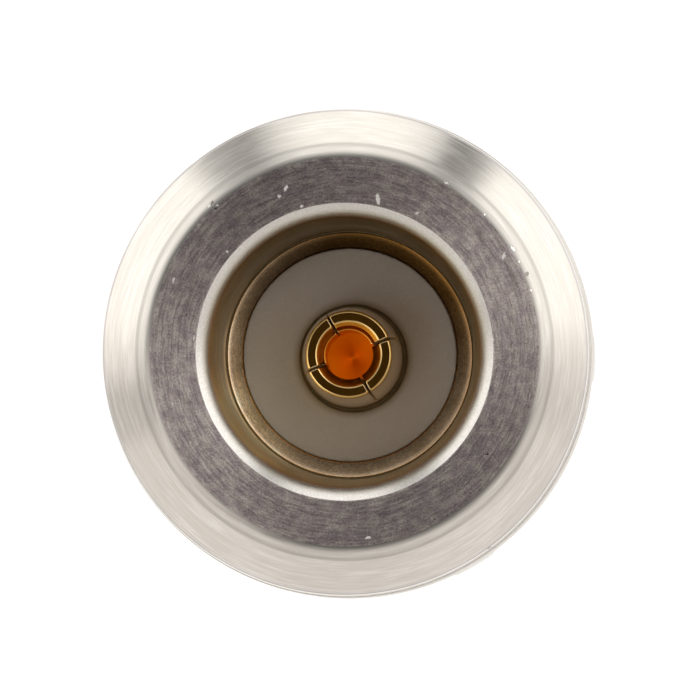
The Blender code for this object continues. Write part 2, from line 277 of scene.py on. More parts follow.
class Graph:
    """Short calls that build the nodes of one material or world."""

    def __init__(self, tree):
        self.tree = tree

    def node(self, kind, **settings):
        made = self.tree.nodes.new(kind)
        for key, value in settings.items():
            setattr(made, key, value)
        return made

    def feed(self, socket, value):
        if isinstance(value, bpy.types.NodeSocket):
            self.tree.links.new(value, socket)
        else:
            socket.default_value = value

    def math(self, operation, first, second=0.0, third=None):
        made = self.node("ShaderNodeMath", operation=operation)
        self.feed(made.inputs[0], first)
        self.feed(made.inputs[1], second)
        if third is not None:
            self.feed(made.inputs[2], third)
        return made.outputs[0]

    def plus(self, first, second):
        return self.math("ADD", first, second)

    def minus(self, first, second):
        return self.math("SUBTRACT", first, second)

    def times(self, first, second):
        return self.math("MULTIPLY", first, second)

    def larger(self, first, second):
        return self.math("MAXIMUM", first, second)

    def ramp(self, value, low, high, start=0.0, end=1.0):
        """A smooth step from start to end while the value goes from low to high."""
        made = self.node("ShaderNodeMapRange", interpolation_type="SMOOTHSTEP")
        for socket, item in zip(made.inputs, (value, low, high, start, end)):
            self.feed(socket, item)
        return made.outputs[0]

    def mix(self, share, first, second):
        made = self.node("ShaderNodeMix", data_type="RGBA")
        self.feed(made.inputs["Factor"], share)
        self.feed(made.inputs[6], first)
        self.feed(made.inputs[7], second)
        return made.outputs[2]

    def vector(self, operation, first, second=None, output="Vector"):
        made = self.node("ShaderNodeVectorMath", operation=operation)
        self.feed(made.inputs[0], first)
        if second is not None:
            self.feed(made.inputs[1], second)
        return made.outputs[output]

    def scaled(self, color, factor):
        made = self.node("ShaderNodeVectorMath", operation="SCALE")
        self.feed(made.inputs[0], color)
        self.feed(made.inputs["Scale"], factor)
        return made.outputs[0]

    def noise(self, vector, scale, detail=2.0, roughness=0.5):
        made = self.node("ShaderNodeTexNoise")
        self.feed(made.inputs["Vector"], vector)
        made.inputs["Scale"].default_value = scale
        made.inputs["Detail"].default_value = detail
        made.inputs["Roughness"].default_value = roughness
        return made.outputs[0]

    def xyz(self, x, y, z):
        made = self.node("ShaderNodeCombineXYZ")
        for socket, item in zip(made.inputs, (x, y, z)):
            self.feed(socket, item)
        return made.outputs[0]

    def split(self, vector):
        made = self.node("ShaderNodeSeparateXYZ")
        self.feed(made.inputs[0], vector)
        return made.outputs

    def point(self):
        """The point's place on the object, in metres."""
        return self.node("ShaderNodeTexCoord").outputs["Object"]

    def bump(self, height, strength, distance):
        made = self.node("ShaderNodeBump")
        made.inputs["Strength"].default_value = strength
        made.inputs["Distance"].default_value = distance
        self.feed(made.inputs["Height"], height)
        return made.outputs[0]


def new_material(name):
    """An empty Principled material: (material, graph, shader)."""
    material = bpy.data.materials.new(name)
    material.use_nodes = True
    return material, Graph(material.node_tree), material.node_tree.nodes["Principled BSDF"]


WHITE = (1, 1, 1, 1)

# Noise scales, in cells per metre
CLOUD_SCALE = 700.0
STAIN_SCALE = 1100.0
BLOTCH_SCALE = 2600.0
PTFE_GRAIN_SCALE = 15000.0
WOBBLE_SCALE = 16000.0
GRAIN_SCALE = 17000.0

# Turning marks, in noise cells per metre of radius
MARK_SCALE = 26000.0
BORE_MARK_SCALE = 22000.0
FACE_MARK_SCALE = 14000.0
MARKS_DOWN = 0.45               # how much the turning marks change with height, to 1 with the radius
SMALLEST_R = 1e-6               # in metres; keeps a division by the radius defined on the axis


def around_axis(graph, along, across):
    """The radius, and a noise vector stretched round the axis, so that noise becomes turning marks."""
    x, y, z = graph.split(graph.point())
    radius = graph.math("SQRT", graph.plus(graph.times(x, x), graph.times(y, y)))
    safe = graph.larger(radius, SMALLEST_R)
    return radius, graph.xyz(
        graph.times(graph.math("MULTIPLY_ADD", z, MARKS_DOWN, radius), across),
        graph.times(graph.math("DIVIDE", x, safe), along),
        graph.times(graph.math("DIVIDE", y, safe), along),
    )


def toward(graph, x, y, radius, azimuth):
    """How far a point lies towards a direction from the axis: 1 in it, -1 opposite to it."""
    turn = math.radians(azimuth)
    along = graph.plus(graph.times(x, math.cos(turn)), graph.times(y, math.sin(turn)))
    return graph.math("DIVIDE", along, graph.larger(radius, SMALLEST_R))


def finish_metal(graph, shader, color, rough, height, mark_depth, brushed):
    """Feeds a metal's shader; fine grooves round the axis spread its reflections along the radius."""
    graph.feed(shader.inputs["Base Color"], color)
    shader.inputs["Metallic"].default_value = 1.0
    graph.feed(shader.inputs["Roughness"], rough)
    graph.feed(shader.inputs["Normal"], graph.bump(height, 1.0, mark_depth))
    shader.inputs["Anisotropic"].default_value = brushed
    shader.inputs["Anisotropic Rotation"].default_value = 0.25
    tangent = graph.node("ShaderNodeTangent", direction_type="RADIAL", axis="Z")
    graph.feed(shader.inputs["Tangent"], tangent.outputs[0])


# The nose is darker where it meets the face; the fine line between bevel and cone is darker with dirt and
# painted shade
NOSE_DARK_FROM = FACE_R - 0.088 * MM
NOSE_DARK_TO = FACE_R + 0.17 * MM
LINE_AT = NOSE_R - 0.045 * MM

# Wide turning marks, as shares of the fine ones
WIDE_ALONG = 0.35
WIDE_ACROSS = 0.2

WHITE_CHIP = (0.97, 0.95, 0.90, 1)
DARK_CHIP = (0.30, 0.27, 0.25, 1)
CHIP_DEPTH = 14.0               # in depths of a turning mark


def turned_metal(name, color, dark, roughness, spread, mark_depth, along=6.0, brushed=0.0, worn_and_shaded=False):
    """Plated metal with fine and wide marks of the turning tool and, where asked for, a darker band by
    the face, dirt and painted shade in the fine line, and chips.
    """
    material, graph, shader = new_material(name)
    radius, vector = around_axis(graph, along, MARK_SCALE)
    marks = graph.noise(vector, 1.0, 3.0, 0.6)
    _, wide_vector = around_axis(graph, along * WIDE_ALONG, MARK_SCALE * WIDE_ACROSS)
    streaks = graph.noise(wide_vector, 1.0, 3.0, 0.6)
    shade = graph.times(graph.ramp(marks, 0.3, 0.75), graph.ramp(streaks, 0.3, 0.65, 0.25, 1.0))
    tone = graph.mix(shade, (*dark, 1), (*color, 1))
    height = marks
    if worn_and_shaded:
        # Darker towards the face, and dirt and painted shade in the fine line.
        from_line = graph.math("ABSOLUTE", graph.minus(radius, LINE_AT))
        near_face = graph.ramp(radius, NOSE_DARK_FROM, NOSE_DARK_TO, 0.28, 1.0)
        in_line = graph.ramp(from_line, 0.02 * MM, 0.10 * MM, 0.84, 1.0)
        tone = graph.scaled(tone, graph.times(near_face, in_line))
        white, black = nick_mask(graph, WHITE_CHIPS), nick_mask(graph, DARK_CHIPS)
        tone = graph.mix(black, graph.mix(white, tone, WHITE_CHIP), DARK_CHIP)
        height = graph.minus(marks, graph.times(graph.larger(white, black), CHIP_DEPTH))
    rough = graph.ramp(marks, 0.2, 0.8, roughness - spread, roughness + spread)
    finish_metal(graph, shader, tone, rough, height, mark_depth, brushed)
    return material


# Brown round the contact's foot: dirt and the contact's painted shadow.
PTFE_STAIN_AND_SHADE = (0.48, 0.38, 0.27, 1)
STAIN_SHADE_FROM = RECESS_R - 0.05 * MM
STAIN_SHADE_TO = RECESS_R + 0.28 * MM


def ptfe_material(name, pale, dull, shade_and_stain=False):
    """Waxy and faintly speckled, with light that spreads inside; where asked for, brown round the
    contact: dirt and painted shadow.
    """
    material, graph, shader = new_material(name)
    grain = graph.noise(graph.point(), PTFE_GRAIN_SCALE, 3.0, 0.6)
    cloud = graph.noise(graph.point(), CLOUD_SCALE, 2.0)
    share = graph.times(graph.ramp(grain, 0.3, 0.7), graph.ramp(cloud, 0.3, 0.7, 0.6, 1.0))
    tone = graph.mix(share, (*dull, 1), (*pale, 1))
    if shade_and_stain:
        # Dirt and painted shadow round the contact's foot.
        x, y, _ = graph.split(graph.point())
        away = graph.vector("DISTANCE", graph.xyz(x, y, 0.0), (*FOOT_SHIFT, 0), "Value")
        tone = graph.mix(graph.ramp(away, STAIN_SHADE_FROM, STAIN_SHADE_TO), PTFE_STAIN_AND_SHADE, tone)
    graph.feed(shader.inputs["Base Color"], tone)
    shader.inputs["Roughness"].default_value = 0.5
    shader.inputs["Subsurface Weight"].default_value = 0.5
    shader.inputs["Subsurface Radius"].default_value = (1.0, 0.95, 0.9)
    shader.inputs["Subsurface Scale"].default_value = 1.2 * MM
    graph.feed(shader.inputs["Normal"], graph.bump(grain, 0.3, 0.004 * MM))
    return material


# Wear marks on the face: (x, y, half length, half width, turn in degrees), in mm
WHITE_NICKS = [
    (-1.89, 5.28, 0.14, 0.06, 70), (-2.11, 5.02, 0.08, 0.05, 20), (1.08, 4.92, 0.24, 0.075, 98),
    (2.34, 4.47, 0.09, 0.04, 20), (5.14, 3.09, 0.16, 0.06, 75), (0.76, -5.98, 0.10, 0.05, 10),
    (-3.78, 3.24, 0.06, 0.05, 0), (-1.38, 4.68, 0.08, 0.04, 10), (-4.86, 0.45, 0.10, 0.04, 80),
    (4.79, 0.38, 0.07, 0.05, 0), (-4.12, 4.72, 0.10, 0.035, 60), (-5.52, 2.30, 0.10, 0.04, 75),
]
DARK_NICKS = [
    (-4.15, 4.62, 0.10, 0.06, 55), (4.60, -3.30, 0.12, 0.05, 30), (-5.10, 1.20, 0.08, 0.04, 80),
    (2.90, -5.40, 0.10, 0.04, 140),
]
# Wear marks on the bevel and the cone, in the same form
WHITE_CHIPS = [
    (-4.36, 4.72, 0.14, 0.05, 48), (3.30, 5.44, 0.08, 0.04, 150), (4.53, 4.42, 0.07, 0.04, 135),
    (5.44, 3.33, 0.16, 0.06, 125), (5.64, 2.90, 0.08, 0.04, 110), (6.02, 1.98, 0.07, 0.04, 105),
]
DARK_CHIPS = [
    (-4.27, 4.80, 0.12, 0.05, 52), (5.88, 2.51, 0.12, 0.06, 60), (4.65, -6.33, 0.09, 0.05, 20),
]
MARK_WOBBLE = 0.14 * MM         # how ragged the marks are
MARK_CORE = 0.45                # share of a mark that is full, before it fades to its edge


def nick_mask(graph, nicks):
    """1 on each of the small marks of a list, 0 elsewhere."""
    wobble = graph.node("ShaderNodeTexNoise")
    wobble.inputs["Scale"].default_value = WOBBLE_SCALE
    graph.feed(wobble.inputs["Vector"], graph.point())
    centred = graph.vector("SUBTRACT", wobble.outputs["Color"], (0.5, 0.5, 0))
    offset = graph.vector("MULTIPLY", centred, (MARK_WOBBLE, MARK_WOBBLE, 0))
    ragged = graph.vector("ADD", graph.point(), offset)
    total = 0.0
    for x, y, half_length, half_width, turn in nicks:
        local = graph.node("ShaderNodeMapping", vector_type="TEXTURE")
        graph.feed(local.inputs["Vector"], ragged)
        local.inputs["Location"].default_value = (x * MM, y * MM, 0)
        local.inputs["Rotation"].default_value = (0, 0, math.radians(turn))
        local.inputs["Scale"].default_value = (half_length * MM, half_width * MM, 1)
        away = graph.vector("LENGTH", local.outputs[0], output="Value")
        total = graph.larger(total, graph.ramp(away, MARK_CORE, 1.0, 1.0, 0.0))
    return total


FACE_DARK = (0.385, 0.328, 0.338, 1)
FACE_PALE = (0.535, 0.475, 0.445, 1)
# The face is darkened towards this azimuth: painted shade.
FACE_SHADED_SIDE = 92.0           # azimuth in degrees
FACE_MARK_DEPTH = 0.003 * MM
WHITE_NICK = (0.95, 0.93, 0.90, 1)
DARK_NICK = (0.10, 0.09, 0.09, 1)
NICK_DEPTH = 6.0                # in depths of a turning mark
NICK_ROUGHNESS = 0.35           # added to the face's own


def face_metal(name):
    """The turned end face: mottled grey nickel with fine marks, small nicks and painted shade on one
    side.
    """
    material, graph, shader = new_material(name)
    radius, vector = around_axis(graph, 7.0, FACE_MARK_SCALE)
    wander = graph.times(graph.noise(graph.point(), CLOUD_SCALE), 2.5)
    marks = graph.noise(graph.vector("ADD", vector, graph.xyz(wander, 0.0, 0.0)), 1.0, 4.0, 0.7)
    blotches = graph.noise(graph.point(), BLOTCH_SCALE, 4.0, 0.65)
    grain = graph.noise(graph.point(), GRAIN_SCALE, 3.0, 0.6)
    tint = graph.mix(graph.ramp(blotches, 0.36, 0.64), FACE_DARK, FACE_PALE)
    x, y, _ = graph.split(graph.point())
    # Painted shade: the face is darker on one side.
    shaded_side = toward(graph, x, y, radius, FACE_SHADED_SIDE)
    shade = graph.times(graph.ramp(marks, 0.3, 0.7, 0.62, 1.18), graph.ramp(grain, 0.3, 0.7, 0.68, 1.14))
    shade = graph.times(shade, graph.ramp(shaded_side, 0.45, 0.95, 1.0, 0.84))
    white, dark = nick_mask(graph, WHITE_NICKS), nick_mask(graph, DARK_NICKS)
    color = graph.mix(dark, graph.mix(white, graph.scaled(tint, shade), WHITE_NICK), DARK_NICK)
    rough = graph.plus(graph.ramp(grain, 0.2, 0.8, 0.30, 0.44), graph.times(white, NICK_ROUGHNESS))
    height = graph.plus(marks, graph.times(radius, FACE_LEAN / FACE_MARK_DEPTH))
    height = graph.plus(height, graph.times(grain, 0.6))
    height = graph.minus(height, graph.times(graph.larger(white, dark), NICK_DEPTH))
    finish_metal(graph, shader, color, rough, height, FACE_MARK_DEPTH, 0.8)
    return material


# Painted light: the bore is made brighter towards this azimuth.
BORE_LIT_SIDE = 215.0        # azimuth in degrees
MOUTH_DARK = (0.76, 0.73, 0.69, 1)
MOUTH_PALE = (0.88, 0.85, 0.81, 1)
PALE_FROM_Z = N_FACE_Z - 0.62 * MM
PALE_TO_Z = N_FACE_Z - 0.30 * MM


def bore_metal(name, dark, pale, shade_tint, roughness, along, shaded_azimuth, bright, inner=1.0, outer=1.0):
    """Inside of the bore: pale at the mouth and brown further down, with painted shade on one side and
    painted light on another.

    inner and outer are the changes of brightness at the rim's inner and outer edge.
    """
    material, graph, shader = new_material(name)
    radius, vector = around_axis(graph, along, BORE_MARK_SCALE)
    marks = graph.noise(vector, 1.0, 3.0, 0.6)
    stains = graph.noise(graph.point(), STAIN_SCALE, 3.0)
    grain = graph.noise(graph.point(), GRAIN_SCALE, 2.0)
    brown = graph.mix(graph.ramp(stains, 0.3, 0.7), (*dark, 1), (*pale, 1))
    x, y, z = graph.split(graph.point())
    # Painted light and shade: one side of the bore is tinted darker, another made brighter.
    shaded_side = toward(graph, x, y, radius, shaded_azimuth)
    lit_side = toward(graph, x, y, radius, BORE_LIT_SIDE)
    lit_share = graph.ramp(shaded_side, -0.45, 0.95, 1.0, 0.0)
    shade = graph.ramp(grain, 0.3, 0.7, 0.90, 1.06)
    shade = graph.times(shade, graph.ramp(lit_side, 0.86, 0.99, 1.0, bright))
    shade = graph.times(shade, graph.ramp(radius, LINE_R, SLEEVE_R, inner, outer))
    shade_and_stain = graph.mix(lit_share, (*shade_tint, 1), WHITE)
    deep = graph.scaled(graph.vector("MULTIPLY", brown, shade_and_stain), shade)
    mouth_tone = graph.mix(graph.ramp(grain, 0.3, 0.7), MOUTH_DARK, MOUTH_PALE)
    # Painted light and shade on the mouth as well: lighter on one side, darker on the other.
    mouth = graph.scaled(mouth_tone, graph.ramp(shaded_side, -0.6, 0.95, 1.10, 0.92))
    color = graph.mix(graph.ramp(z, PALE_FROM_Z, PALE_TO_Z), deep, mouth)
    rough = graph.ramp(marks, 0.2, 0.8, roughness - 0.05, roughness + 0.05)
    finish_metal(graph, shader, color, rough, graph.plus(marks, grain), 0.0008 * MM, 0.5)
    return material


NICKEL = turned_metal("nickel_plate", (0.865, 0.838, 0.792), (0.71, 0.67, 0.62), 0.20, 0.05, 0.0006 * MM,
                      brushed=0.5, worn_and_shaded=True)
FACE = face_metal("nickel_face_turned")
GRIP = turned_metal("nickel_satin", (0.70, 0.67, 0.63), (0.60, 0.57, 0.53), 0.30, 0.05, 0.0012 * MM,
                    along=30.0, brushed=0.3)
THREAD = turned_metal("nickel_thread", (0.72, 0.69, 0.65), (0.62, 0.59, 0.55), 0.26, 0.05, 0.0008 * MM,
                      along=14.0)
# The third colour of each is the tint of painted shade on the bore's darker side.
BORE = bore_metal("nickel_bore", (0.66, 0.56, 0.36), (0.80, 0.72, 0.51), (0.36, 0.31, 0.21), 0.32,
                  along=12.0, shaded_azimuth=80.0, bright=1.6)
RIM = bore_metal("nickel_rim", (0.63, 0.455, 0.29), (0.79, 0.595, 0.415), (0.25, 0.17, 0.07), 0.25,
                 along=30.0, shaded_azimuth=62.0, bright=1.1, inner=0.70, outer=1.45)
# Darker where the cone steps down to the thread: dirt and painted shade in the notch.
START = turned_metal("thread_start", (0.76, 0.73, 0.72), (0.62, 0.59, 0.58), 0.35, 0.06, 0.001 * MM)
GOLD = turned_metal("gold_plate", (0.98, 0.70, 0.33), (0.92, 0.60, 0.24), 0.16, 0.04, 0.0008 * MM)
# The contact is all one gold plating. gold_tip and gold_throat are darker copies of it, painted shade;
# gold_hole and gold_drilled are deep orange copies, painted reflection of the gold inside the hole;
# gold_sawn is a lighter copy, painted light, as well as rougher.
GOLD_TIP = turned_metal("gold_tip", (0.75, 0.34, 0.04), (0.50, 0.22, 0.03), 0.09, 0.03, 0.0001 * MM)
GOLD_HOLE = turned_metal("gold_hole", (0.99, 0.50, 0.03), (0.97, 0.44, 0.02), 0.12, 0.04, 0.0004 * MM)
GOLD_THROAT = turned_metal("gold_throat", (0.84, 0.36, 0.05), (0.66, 0.26, 0.03), 0.34, 0.06, 0.0008 * MM)
GOLD_SAWN = turned_metal("gold_sawn", (0.98, 0.80, 0.52), (0.93, 0.72, 0.42), 0.55, 0.05, 0.0008 * MM)
GOLD_DRILL = turned_metal("gold_drilled", (1.0, 0.42, 0.02), (0.97, 0.37, 0.01), 0.40, 0.05, 0.0008 * MM)
PTFE = ptfe_material("ptfe", (1.0, 0.90, 0.89), (0.88, 0.77, 0.75))
PTFE_SHADED_STAINED = ptfe_material("ptfe_shaded_stained", (1.0, 0.90, 0.89), (0.94, 0.825, 0.805), shade_and_stain=True)
# Painted shade in the seam at the sleeve's edge.
SEAM_SHADE = turned_metal("sleeve_seam_shade", (0.46, 0.36, 0.22), (0.30, 0.23, 0.13), 0.5, 0.05, 0.001 * MM)
# Dark brown in the bead's recess round the contact: dirt and painted shade.
RECESS_SHADE_AND_DIRT = turned_metal("recess_shade_and_dirt", (0.30, 0.23, 0.13), (0.17, 0.12, 0.06), 0.5, 0.05, 0.001 * MM)


# Shell of the N end

# Materials of a piece, each with the number that its profile gives to a stretch
SHELL_ZONES = [NICKEL, FACE, THREAD, BORE, START, GRIP]
Z_NICKEL, Z_FACE, Z_THREAD, Z_BORE, Z_START, Z_GRIP = range(6)


def shell_shoulder():
    """The rounding from the face to the bevel, and the bevel, which flattens towards the fine line."""
    steep = math.degrees(math.atan2(NOSE_BEVEL_HEIGHT, NOSE_BEVEL_WIDTH))
    round_steps, bevel_steps = 16, 6
    start_r = FACE_R - SHOULDER_START
    points = []
    for step in range(round_steps + 1):
        degrees = steep * step / round_steps
        slope = math.radians(degrees)
        zone = Z_FACE if degrees < FACE_EDGE_SLOPE else Z_NICKEL
        r, z = start_r + SHOULDER_R * math.sin(slope), N_FACE_Z - SHOULDER_R * (1 - math.cos(slope))
        points.append((r, z, zone))
    part = (NOSE_R - r) / bevel_steps
    for step in range(bevel_steps):
        slope = math.radians(steep + (LINE_SLOPE - steep) * (step + 0.5) / bevel_steps)
        r, z = r + part, z - part * math.tan(slope)
        points.append((r, z, Z_NICKEL))
    return points


def shell_nose():
    """From the face over the shoulder and the cone to the start of the thread."""
    shoulder = shell_shoulder()
    r, z, _ = shoulder.pop()
    first_crest_r = N_THREAD_R - LEAD_DROP
    cone = filleted([
        (*shoulder[-1][:2], Z_NICKEL, 0),
        (r, z, Z_NICKEL, 0.05 * MM),
        (CONE_R, CONE_Z, Z_START, 0.06 * MM),
        (CONE_R, CONE_Z - 0.05 * MM, Z_START, 0.03 * MM),
        (CONE_R + 0.04 * MM, CONE_Z - 0.07 * MM, Z_NICKEL, 0.02 * MM),
        (first_crest_r, CONE_Z - 0.20 * MM, Z_THREAD, 0.05 * MM),
        (first_crest_r, THREAD_TOP_Z + 0.01 * MM, Z_THREAD, 0.0),
    ])
    return [(FACE_R - 0.8 * MM, N_FACE_Z, Z_FACE)] + shoulder + cone[1:]


def shell_thread(angle):
    """The 5/8-24 thread, which runs out into the groove above the grip."""
    low = THREAD_END_Z - CREST_STEP
    run_out = 2 * CREST_STEP

    def envelope(z):
        lead = N_THREAD_R - LEAD_DROP * (1 - smooth_step(0, LEAD_LENGTH, THREAD_TOP_Z - z))
        return min(lead, RELIEF_R + (z - low) * RELIEF_DEPTH / run_out)

    return thread(angle, THREAD_TOP_Z, low, N_PITCH, N_THREAD_R, envelope, THREAD_FADE, 0, Z_THREAD)


def shell_grip(angle):
    """Run-out groove and hexagonal grip, whose corners are turned down to just inside the thread."""
    from_flat = math.degrees(angle) % 60 - 30
    hex_r = FLAT_R / math.cos(math.radians(from_flat))
    shoulder_r = CORNER_R - GRIP_EDGE_BREAK
    edge_r = min(shoulder_r, hex_r)
    side_r = min(CORNER_R, hex_r)
    drop = max(0.0, side_r - shoulder_r) / 2
    edge = 0.05 * MM
    groove = filleted([
        (RELIEF_R, THREAD_END_Z - CREST_STEP, Z_GRIP, 0),
        (RELIEF_R, GRIP_TOP_Z, Z_GRIP, 0.15 * MM),
        (edge_r - edge, GRIP_TOP_Z, Z_GRIP, 0),
    ])
    return groove[1:] + [
        (edge_r, GRIP_TOP_Z - edge / 2, Z_GRIP),
        (side_r, GRIP_TOP_Z - drop - edge, Z_GRIP),
        (side_r, SHELL_END_Z + drop + edge, Z_GRIP),
        (edge_r, SHELL_END_Z + edge / 2, Z_GRIP),
        (edge_r - edge, SHELL_END_Z, Z_GRIP),
    ]


def shell_inside():
    """Socket for the spigot, bore, taper and mouth, back up to the face."""
    taper_z = N_FACE_Z - MOUTH_CHAMFER_HEIGHT
    return filleted([
        (SOCKET_R + SOCKET_CHAMFER + 0.1 * MM, SHELL_END_Z, Z_GRIP, 0),
        (SOCKET_R + SOCKET_CHAMFER, SHELL_END_Z, Z_GRIP, 0),
        (SOCKET_R, SHELL_END_Z + SOCKET_CHAMFER, Z_BORE, 0),
        (SOCKET_R, SOCKET_TOP_Z, Z_BORE, 0),
        (BORE_R, SOCKET_TOP_Z, Z_BORE, 0),
        (BORE_R, RIM_Z, Z_BORE, 0),
        (TAPER_LOW_R, taper_z - TAPER_LENGTH, Z_BORE, 0.6 * MM),
        (TAPER_TOP_R, taper_z, Z_BORE, MOUTH_ROUNDING),
        (TAPER_TOP_R + MOUTH_CHAMFER_WIDTH, N_FACE_Z, Z_FACE, 0.08 * MM),
        (FACE_R - 0.9 * MM, N_FACE_Z, Z_FACE, 0),
    ])


def grip_angles():
    """Angles of the columns, one of them exactly where each flat meets a turned corner."""
    edge = math.degrees(math.acos(FLAT_R / CORNER_R))
    edges = [flat + side * edge for flat in range(30, 360, 60) for side in (-1, 1)]
    step = 360 / OUTER_COLUMNS
    angles = [number * step for number in range(OUTER_COLUMNS + 1)]
    for exact in edges:
        nearest = min(range(len(angles)), key=lambda i: abs(angles[i] - exact))
        angles[nearest] = exact
    return [math.radians(angle) for angle in angles]


def make_shell():
    """The shell, whose thread and hexagon change with the angle."""
    nose, inside = shell_nose(), shell_inside()

    def column(angle):
        return nose + shell_thread(angle) + shell_grip(angle) + inside

    return swept("n_shell_skin", column, grip_angles(), SHELL_ZONES)


# Body of the TNC end

BODY_ZONES = [GRIP, THREAD, BORE, RIM, SEAM_SHADE]
B_NICKEL, B_THREAD, B_BORE, B_RIM, B_SEAM = range(5)


def body_top():
    """Rim, sleeve, spigot and flange, down to the groove above the thread."""
    edge_r = SLEEVE_R - SLEEVE_EDGE
    return filleted([
        (edge_r - 0.2 * MM, RIM_Z - EDGE_RISE, B_RIM, 0),
        (edge_r - 0.058 * MM, RIM_Z - EDGE_RISE, B_RIM, 0),
        (edge_r - 0.018 * MM, RIM_Z, B_RIM, 0),
        (edge_r, RIM_Z - 0.02 * MM, B_SEAM, 0),
        (edge_r, RIM_Z - SLEEVE_STEP, B_SEAM, 0),
        (SLEEVE_R, RIM_Z - SLEEVE_STEP, B_BORE, 0),
        (SLEEVE_R, SPIGOT_TOP_Z, B_BORE, 0),
        (SPIGOT_R - SPIGOT_LEAD, SPIGOT_TOP_Z, B_BORE, 0),
        (SPIGOT_R, SPIGOT_TOP_Z - SPIGOT_LEAD, B_BORE, 0),
        (SPIGOT_R, FLANGE_TOP_Z, B_NICKEL, 0),
        (FLANGE_R - FLANGE_EDGE, FLANGE_TOP_Z, B_NICKEL, FLANGE_ROUNDING),
        (FLANGE_R, FLANGE_TOP_Z - FLANGE_EDGE, B_NICKEL, FLANGE_ROUNDING),
        (FLANGE_R, FLANGE_LOW_Z + FLANGE_EDGE, B_NICKEL, FLANGE_ROUNDING),
        (FLANGE_R - FLANGE_EDGE, FLANGE_LOW_Z, B_NICKEL, FLANGE_ROUNDING),
        (TNC_RELIEF_R, FLANGE_LOW_Z, B_NICKEL, 0.12 * MM),
        (TNC_RELIEF_R, TNC_THREAD_LENGTH, B_THREAD, 0),
    ])


def body_thread(angle):
    """The 7/16-28 thread, from the groove down to the chamfer at the face."""
    top = TNC_THREAD_LENGTH
    low = TNC_FACE_Z + 0.02 * MM

    def envelope(z):
        chamfer = TNC_THREAD_R - TNC_CHAMFER + (z - TNC_FACE_Z)
        run_out = TNC_RELIEF_R + (top - z) * TNC_RUN_OUT_SLOPE
        return min(TNC_THREAD_R, chamfer, run_out)

    return thread(angle, top, low, TNC_PITCH, TNC_THREAD_R, envelope, 0, THREAD_FADE, B_THREAD)


def body_inside():
    """TNC mouth, bore, lip and the stepped line bore, up to the rim."""
    return filleted([
        (TNC_THREAD_R - TNC_CHAMFER, TNC_FACE_Z, B_NICKEL, 0),
        (TNC_BORE_R + TNC_MOUTH_CHAMFER, TNC_FACE_Z, B_NICKEL, 0.06 * MM),
        (TNC_BORE_R, TNC_FACE_Z + TNC_MOUTH_CHAMFER, B_BORE, 0.06 * MM),
        (TNC_BORE_R, TNC_REF_Z, B_BORE, 0.05 * MM),
        (LIP_R, TNC_REF_Z, B_BORE, 0.03 * MM),
        (LIP_R, LIP_TOP_Z, B_BORE, 0),
        (LOWER_LINE_R, LIP_TOP_Z, B_BORE, 0),
        (LOWER_LINE_R, LEDGE_Z, B_BORE, 0),
        (LINE_R, LEDGE_Z, B_BORE, 0),
        (LINE_R, RIM_Z - 0.03 * MM, B_RIM, 0),
        (LINE_R + 0.03 * MM, RIM_Z - EDGE_RISE, B_RIM, 0),
        (LINE_R + 0.15 * MM, RIM_Z - EDGE_RISE, B_RIM, 0),
    ])


def make_body():
    """The body, whose thread changes with the angle."""
    top, inside = body_top(), body_inside()
    angles = [math.tau * number / OUTER_COLUMNS for number in range(OUTER_COLUMNS + 1)]

    def column(angle):
        return top + body_thread(angle) + inside

    return swept("tnc_body_skin", column, angles, BODY_ZONES)


# PTFE beads

P_BEAD, P_RECESS = range(2)


def shift_core(piece, reach, low_z, high_z, low_shift, high_shift):
    """Moves what is near the axis and above low_z sideways, by a shift that changes with height."""
    for vertex in piece.data.vertices:
        spot = vertex.co
        if spot.xy.length < reach and spot.z > low_z - SLACK:
            share = (spot.z - low_z) / (high_z - low_z)
            spot.xy += low_shift.lerp(high_shift, share)


def make_n_bead():
    """The bead of the N end, with a recess round the contact's foot."""
    bead = lathe("n_insulator_skin", [
        (N_BEAD_R, RIM_Z, P_BEAD, 0.06 * MM),
        (N_BEAD_R, N_BEAD_LOW_Z, P_BEAD, 0.06 * MM),
        (NECK_HOLE_R, N_BEAD_LOW_Z, P_BEAD, 0),
        (NECK_HOLE_R, RIM_Z - RECESS_DEPTH, P_RECESS, 0),
        (RECESS_R, RIM_Z - RECESS_DEPTH, P_RECESS, 0.03 * MM),
        (RECESS_R, RIM_Z, P_BEAD, 0.07 * MM),
    ], [PTFE_SHADED_STAINED, RECESS_SHADE_AND_DIRT], BEAD_COLUMNS)
    shift_core(bead, RECESS_R + 0.1 * MM, RIM_Z - RECESS_DEPTH, RIM_Z, FOOT_SHIFT, FOOT_SHIFT)
    return bead


def make_tnc_bead():
    """The bead with its sleeve, which leaves the fingers of the contact room to spread."""
    sleeve_r = 2.375 * MM
    sleeve_chamfer = 0.2 * MM
    room_r = 1.17 * MM
    room_top_z = TNC_BEAD_LOW_Z + 3.4 * MM
    return lathe("tnc_insulator_skin", [
        (TNC_BEAD_R, TNC_BEAD_TOP_Z, P_BEAD, 0.05 * MM),
        (TNC_BEAD_R, LIP_TOP_Z + GAP, P_BEAD, 0),
        (LIP_R - GAP, LIP_TOP_Z + GAP, P_BEAD, 0),
        (LIP_R - GAP, TNC_REF_Z, P_BEAD, 0.04 * MM),
        (sleeve_r, TNC_REF_Z, P_BEAD, 0.05 * MM),
        (sleeve_r, TNC_BEAD_LOW_Z + sleeve_chamfer, P_BEAD, 0.06 * MM),
        (sleeve_r - sleeve_chamfer, TNC_BEAD_LOW_Z, P_BEAD, 0.06 * MM),
        (room_r, TNC_BEAD_LOW_Z, P_BEAD, 0.04 * MM),
        (room_r, room_top_z, P_BEAD, 0),
        (NECK_HOLE_R, room_top_z, P_BEAD, 0),
        (NECK_HOLE_R, TNC_BEAD_TOP_Z, P_BEAD, 0),
    ], [PTFE], INNER_COLUMNS)


# Contacts

